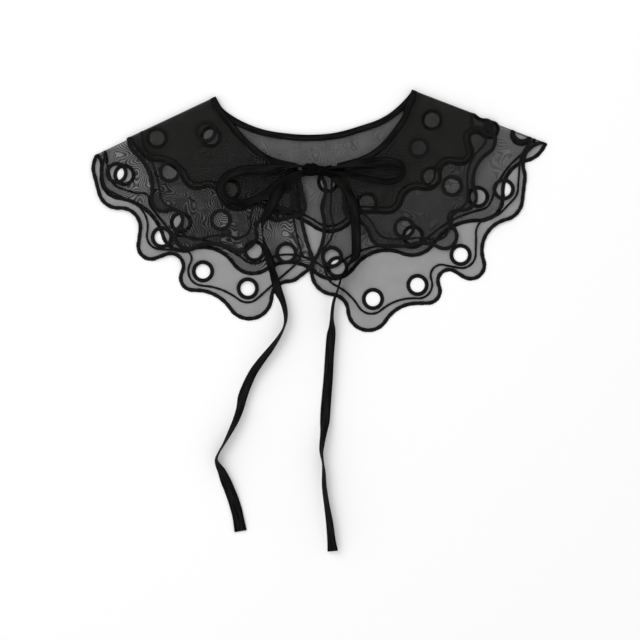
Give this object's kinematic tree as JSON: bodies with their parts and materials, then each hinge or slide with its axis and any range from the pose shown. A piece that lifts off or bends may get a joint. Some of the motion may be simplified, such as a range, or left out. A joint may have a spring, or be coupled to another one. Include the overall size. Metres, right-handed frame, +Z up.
{
  "type": "detachable collar",
  "caption": "Two-tier sheer collar with scalloped, corded cutwork edges, round eyelets, a bound neck and a tied bow with long ends, laid flat.",
  "frame": {"origin": "middle of the bounding box, on the surface that the collar lies on", "axes": "+Z up from the surface, +Y from the tie ends towards the nape, +X to the right of the picture, which is the wearer's left"},
  "size_m": [0.4098, 0.4172, 0.0152],
  "materials": {
    "organza": "sheer",
    "binding": "matt",
    "tape": "matt"
  },
  "bodies": {
    "root": {"upper_tier": "organza", "lower_tier": "organza", "neck_binding": "binding", "bow_knot": "tape", "bow_loop_left": "tape", "bow_loop_right": "tape", "tie_end_left": "tape", "tie_end_right": "tape"}
  },
  "joints": []
}
